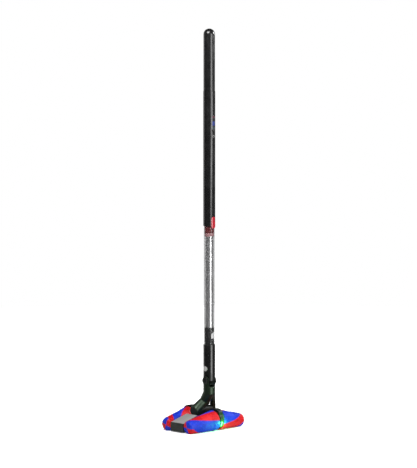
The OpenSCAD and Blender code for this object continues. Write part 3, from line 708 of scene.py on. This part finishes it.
def bead(name, finish, body, z_mm, half=0.35, proud=0.12):
    """A thin ring round the tube at a parting line."""
    tube(name, finish, body, r_out=tube_mm + proud, r_in=tube_mm - 0.4, z0=z_mm - half, z1=z_mm + half,
         edge=0.12, slot="black_shell")


bead("collar_foot_bead", neck_black, "wand", low("collar")[2] / MM + 8.2)
bead("collar_top_bead", neck_black, "wand", high("collar")[2] / MM - 1.2)
print("collar ready")

# %% [markdown]
# The bin is lathed again with rounded rims, because its wall is seen through. The wiper's ring and lip are
# plain tubes too. The inlet chute and the shroud are copies of their CAD shapes.

# %% Bin, wiper and shroud


def reach(node):
    """Smallest and largest distance of a node's vertices from the tube's axis, in millimetres."""
    co = np.array([v.co for v in frame["nodes"][node].data.vertices])
    far = np.hypot(co[:, 0], co[:, 1] - tube_axis.y) / MM
    return far.min(), far.max()


def lathed(node, finish, body, edge):
    """Lathe a plain tube anew from its node's own radii and heights."""
    r_in, r_out = reach(node)
    tube(node + "_lathed", finish, body, node, r_out=r_out, r_in=r_in, z0=low(node)[2] / MM,
         z1=high(node)[2] / MM, edge=edge)


lathed("bin_tube", clear, "wand", 0.4)
lathed("wiper_ring", wiper_red, "wand", 0.5)
lathed("wiper_lip", lip_pink, "wand", 0.3)
moulded("inlet_chute", chute_black, "wand", edge=0.3)
moulded("shroud", shroud_metal, "handle", edge=0.3)
print("bin radii in mm:", [round(r, 2) for r in reach("bin_tube")])

# %% [markdown]
# The handle shell carries the red catch, the power button, the display and two charging contacts. Each
# sits in its own hole in the CAD shell, so the copy keeps real gaps round them, and the gaps' dark lines
# tell the eye that the buttons are separate pieces.

# %% Handle and its controls
moulded("handle_shell", shell_black, "handle", edge=0.3, segments=3)
moulded("bin_catch", catch_red, "bin_catch", edge=0.9, segments=4)
moulded("power_button", shell_black, "power_button", edge=0.5, segments=4)
moulded("display", display_glass, "handle", edge=0.25, segments=3)
moulded("charge_contacts", contact_metal, "handle", edge=0.15)
power_middle = middle("power_button")
power_front = Vector((power_middle.x, low("power_button")[1], power_middle.z))
mark_r, mark_wide, mark_proud = 3.1, 0.35, 0.3
mark = spin([(mark_r + mark_wide * math.cos(a), mark_proud * math.sin(a))
             for a in np.linspace(0, 2 * math.pi, 12)[:-1]], 48, closed=True)
shifted(mark, Matrix.Translation(power_front) @ Matrix.Rotation(math.pi / 2, 4, "X"))
keep(mark, "power_button_ring", button_grey, "power_button", slot="button_grey")
bead("grip_bead", shell_black, "handle", low("battery_shell")[2] / MM - 10, half=0.3, proud=0.06)
print("controls ready")

# %% [markdown]
# The battery is the top of the handle. It slides out upwards, so its narrower plug is modelled too. Its
# outline is drawn once, from the foot of the plug to the crown of the dome, and spun.

# %% Battery
battery_low, battery_high = low("battery_shell")[2] / MM, high("battery_shell")[2] / MM
grip_mm = (high("battery_shell")[0] - low("battery_shell")[0]) / 2 / MM
seam_mm = high("handle_shell")[2] / MM + 0.2
plug_mm = reach("handle_shell")[0] - 0.05
dome = [(grip_mm * math.cos(a), battery_high - grip_mm + grip_mm * math.sin(a))
        for a in np.linspace(0, math.pi / 2, 25)[1:]]
foot = rounded([(0, battery_low), (plug_mm, battery_low), (plug_mm, seam_mm), (grip_mm, seam_mm),
                (grip_mm, battery_high - grip_mm - 40)], 0.6)
crown = [(grip_mm, battery_high - grip_mm)] + dome[:-1] + [(0, battery_high)]
keep(shifted(spin(foot + crown), AT_TUBE), "battery_grip", shell_black, "battery", "battery_shell")
print("battery: grip", round(grip_mm, 2), "mm, plug", round(plug_mm, 2), "mm")

# %% [markdown]
# The head's spine runs between the two rows of rollers. Its covers are the only pale pieces down here, and
# the drive cases rise between the rollers' wide ends like a fin.

# %% Head
moulded("spine_shell", spine_grey, "head", edge=0.5)
moulded("sole_plate", case_black, "head", edge=0.3)
moulded("left_top_cover", cover_grey, "head", edge=0.7, segments=3)
moulded("right_top_cover", cover_grey, "head", edge=0.7, segments=3)
moulded("left_end_cap", spine_grey, "head", edge=0.9, segments=3)
moulded("right_end_cap", spine_grey, "head", edge=0.9, segments=3)
moulded("left_drive_case", case_black, "head", edge=0.4)
moulded("right_drive_case", case_black, "head", edge=0.4)
moulded("light_windows", green_light, "head", edge=0.3)
moulded("glide_pads", felt_white, "head", edge=0.4)
moulded("pivot_bracket", case_black, "head", edge=0.4)
print("head ready")

# %% [markdown]
# Under the sole, short bristle strips run beside each suction slot and stop grit from hiding there. Each
# strip is one tapered bristle copied in a row with a little seeded disorder.

# %% Bristle strips


STRIP_IN, STRIP_OUT, STRIP_Y = 0.024, 0.092, 0.0095
BRISTLE_PITCH = 0.0012
BRISTLE_ROOT, BRISTLE_TIP = 0.0003, 0.0001
BRISTLE_FOOT = 0.0006
bristle_top = high("sole_plate")[2] - 0.0019


def bristle_strip(name, x0, x1, y, seed):
    rng = np.random.default_rng(seed)
    bm = bmesh.new()
    centre_z, tall = (bristle_top + BRISTLE_FOOT) / 2, bristle_top - BRISTLE_FOOT
    for x in np.arange(x0, x1, BRISTLE_PITCH):
        place = Matrix.Translation((x + rng.normal(0, 0.0002), y + rng.normal(0, 0.0003), centre_z))
        bmesh.ops.create_cone(bm, cap_ends=True, segments=4, radius1=BRISTLE_TIP, radius2=BRISTLE_ROOT,
                              depth=tall, matrix=place)
    keep(bm, name, core_grey, "head", slot="dark_grey")


for side, label in ((-1, "left"), (1, "right")):
    for row, y in (("rear", -STRIP_Y), ("front", STRIP_Y)):
        ends = sorted((side * STRIP_IN, side * STRIP_OUT))
        bristle_strip(label + "_" + row + "_bristles", *ends, y, 40 + side + len(row))
print("bristles ready")

# %% [markdown]
# The inner pieces keep their CAD meshes and only get their finish. They show through the gaps, and when
# the bin, the battery or the head is taken apart.

# %% Inner pieces


def painted(finish, *nodes):
    for node in nodes:
        for place in frame["nodes"][node].material_slots:
            place.material = finish


painted(steel, "head_screws", "pivot_pin", "rear_motor", "front_motor", "rear_axle", "front_axle",
        "release_spring", "fan_unit")
painted(gear_ivory, "rear_idler", "front_idler")
painted(bronze, "rear_pinion", "front_pinion", "rear_left_bushes", "rear_right_bushes", "front_left_bushes",
        "front_right_bushes")
painted(core_grey, "rear_left_core", "rear_right_core", "front_left_core", "front_right_core", "collar_duct",
        "suction_elbow")
painted(board_green, "head_board", "control_board")
painted(filter_paper, "dust_filter")
painted(cell_blue, "battery_cells")
painted(wiper_red, "inlet_flap")
print("inner pieces painted")

# %% [markdown]
# The surround looks white to the camera but lights the model only faintly, so black plastic stays black.
# The floor's own glow grows outwards from the head, so the dimmer floor round the head is painted shade, and
# reflections leave the floor out. Four panels do the rest: a tall strip on the right draws the long
# highlight down the tube, a weak one lifts its left edge, a small one grazes the pile, and one overhead
# lights the covers.
# A small green light in front of the rear window spills on the wide ends of the rollers.

# %% Floor and lights
FLOOR_R = 3.0
floor_finish = Finish("studio_floor", (0.90, 0.90, 0.90), 0.8, Emission_Strength=1.0, Specular_IOR_Level=0.1)
floor_x, floor_y, _ = floor_finish.axes(floor_finish.place())
away = (floor_x * floor_x + floor_y * floor_y).maths("SQRT")
# Dim near the head and bright far out: painted shade on the floor round the head.
floor_glow_with_painted_shade = floor_finish.ramp(away / FLOOR_R, (0.03, (0.22,) * 3), (0.30, (0.62,) * 3), (0.9, (0.9,) * 3))
floor_finish.feed("Emission Color", floor_glow_with_painted_shade)
floor_finish.feed("Roughness", floor_finish.span(floor_finish.speckle(3, detail=2), 0.3, 0.7, 0.75, 0.9))
floor_mesh = bmesh.new()
bmesh.ops.create_circle(floor_mesh, cap_ends=True, segments=96, radius=FLOOR_R)
floor_data = bpy.data.meshes.new("studio_floor")
floor_mesh.to_mesh(floor_data)
floor_mesh.free()
floor = bpy.data.objects.new("studio_floor", floor_data)
bpy.context.scene.collection.objects.link(floor)
floor.data.materials.append(floor_finish.material)
floor.visible_glossy = False
bpy.context.scene.view_settings.view_transform = "Standard"

world = bpy.data.worlds.new("studio")
bpy.context.scene.world = world
world.use_nodes = True
surround = world.node_tree.nodes["Background"]
surround.inputs[0].default_value = (1.0, 1.0, 1.0, 1)
seen = world.node_tree.nodes.new("ShaderNodeLightPath")
dim = world.node_tree.nodes.new("ShaderNodeMapRange")
dim.inputs["To Min"].default_value = 0.07
dim.inputs["To Max"].default_value = 1.0
world.node_tree.links.new(seen.outputs["Is Camera Ray"], dim.inputs["Value"])
world.node_tree.links.new(dim.outputs[0], surround.inputs[1])


def panel(name, turn_deg, rise_deg, aim_height, distance, wide, tall, watts):
    """An area light that faces the tube. The turn is measured from the camera, to its right."""
    angle, rise = VIEW_TURN + math.radians(turn_deg), math.radians(rise_deg)
    out = Vector((math.sin(angle) * math.cos(rise), -math.cos(angle) * math.cos(rise), math.sin(rise)))
    light = bpy.data.lights.new(name, "AREA")
    light.shape = "RECTANGLE"
    light.size, light.size_y = wide, tall
    light.energy = watts
    ob = bpy.data.objects.new(name, light)
    bpy.context.scene.collection.objects.link(ob)
    ob.location = Vector((0, tube_axis.y, aim_height)) + out * distance
    ob.rotation_euler = out.to_track_quat("Z", "Y").to_euler()


panel("right_strip", 47, -4, 0.5, 2.4, 1.15, 2.8, 80)
panel("pile_sheen", 112, 42, 0.05, 2.2, 0.5, 0.5, 44)
panel("left_soft", -122, 0, 0.62, 2.4, 1.1, 2.6, 12)
panel("overhead", -25, 58, 0.1, 2.4, 0.8, 0.8, 66)
glow_light = bpy.data.lights.new("green_glow", "POINT")
glow_light.color = GREEN
glow_light.energy = 0.36
glow_light.shadow_soft_size = 0.006
glow = bpy.data.objects.new("green_glow", glow_light)
bpy.context.scene.collection.objects.link(glow)
glow.location = (0.0, low("light_windows")[1] - 0.013, 0.022)
glow.visible_camera = False
print("floor and lights ready")

# %% [markdown]

# %% Finish
print("finished")
